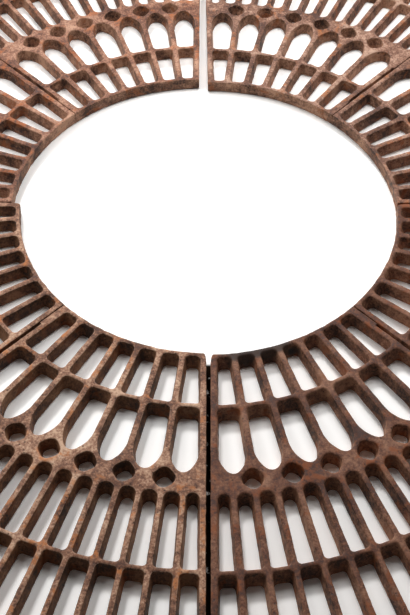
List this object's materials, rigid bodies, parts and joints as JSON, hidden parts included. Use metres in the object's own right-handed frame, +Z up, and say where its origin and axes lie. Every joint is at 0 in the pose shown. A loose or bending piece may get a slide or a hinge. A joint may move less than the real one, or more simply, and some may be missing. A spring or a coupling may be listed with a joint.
{
  "type": "tree grate",
  "caption": "Round cast iron tree grate: slotted sector castings bolted in pairs as quarters that lie round a tree opening.",
  "frame": {"origin": "middle of the laid-out grate, on the plane that its underside rests on", "axes": "+Z up through the castings, +Y from the front seam to the back seam, +X from the left seam to the right seam"},
  "size_m": [1.5296, 1.513, 0.0215],
  "materials": {
    "rusted_cast_iron": "bare cast iron, rusted brown and worn",
    "rusted_steel": "rusted"
  },
  "bodies": {
    "front_left_quarter": {"casting_front_left": "rusted_cast_iron", "casting_left_front": "rusted_cast_iron", "bolt_front_left_inner": "rusted_steel", "head_washer_front_left_inner": "rusted_steel", "nut_washer_front_left_inner": "rusted_steel", "nut_front_left_inner": "rusted_steel", "bolt_front_left_outer": "rusted_steel", "head_washer_front_left_outer": "rusted_steel", "nut_washer_front_left_outer": "rusted_steel", "nut_front_left_outer": "rusted_steel"},
    "front_right_quarter": {"casting_front_right": "rusted_cast_iron", "casting_right_front": "rusted_cast_iron", "bolt_front_right_inner": "rusted_steel", "head_washer_front_right_inner": "rusted_steel", "nut_washer_front_right_inner": "rusted_steel", "nut_front_right_inner": "rusted_steel", "bolt_front_right_outer": "rusted_steel", "head_washer_front_right_outer": "rusted_steel", "nut_washer_front_right_outer": "rusted_steel", "nut_front_right_outer": "rusted_steel"},
    "back_left_quarter": {"casting_back_left": "rusted_cast_iron", "casting_left_back": "rusted_cast_iron", "bolt_back_left_inner": "rusted_steel", "head_washer_back_left_inner": "rusted_steel", "nut_washer_back_left_inner": "rusted_steel", "nut_back_left_inner": "rusted_steel", "bolt_back_left_outer": "rusted_steel", "head_washer_back_left_outer": "rusted_steel", "nut_washer_back_left_outer": "rusted_steel", "nut_back_left_outer": "rusted_steel"},
    "back_right_quarter": {"casting_back_right": "rusted_cast_iron", "casting_right_back": "rusted_cast_iron", "bolt_back_right_inner": "rusted_steel", "head_washer_back_right_inner": "rusted_steel", "nut_washer_back_right_inner": "rusted_steel", "nut_back_right_inner": "rusted_steel", "bolt_back_right_outer": "rusted_steel", "head_washer_back_right_outer": "rusted_steel", "nut_washer_back_right_outer": "rusted_steel", "nut_back_right_outer": "rusted_steel"}
  },
  "joints": [
    {"name": "front_right_lift", "type": "slide", "parent": "front_left_quarter", "child": "front_right_quarter", "axis": [0, 0, 1], "range_m": [0, 0.3]},
    {"name": "back_left_lift", "type": "slide", "parent": "front_left_quarter", "child": "back_left_quarter", "axis": [0, 0, 1], "range_m": [0, 0.3]},
    {"name": "back_right_lift", "type": "slide", "parent": "front_left_quarter", "child": "back_right_quarter", "axis": [0, 0, 1], "range_m": [0, 0.3]}
  ]
}
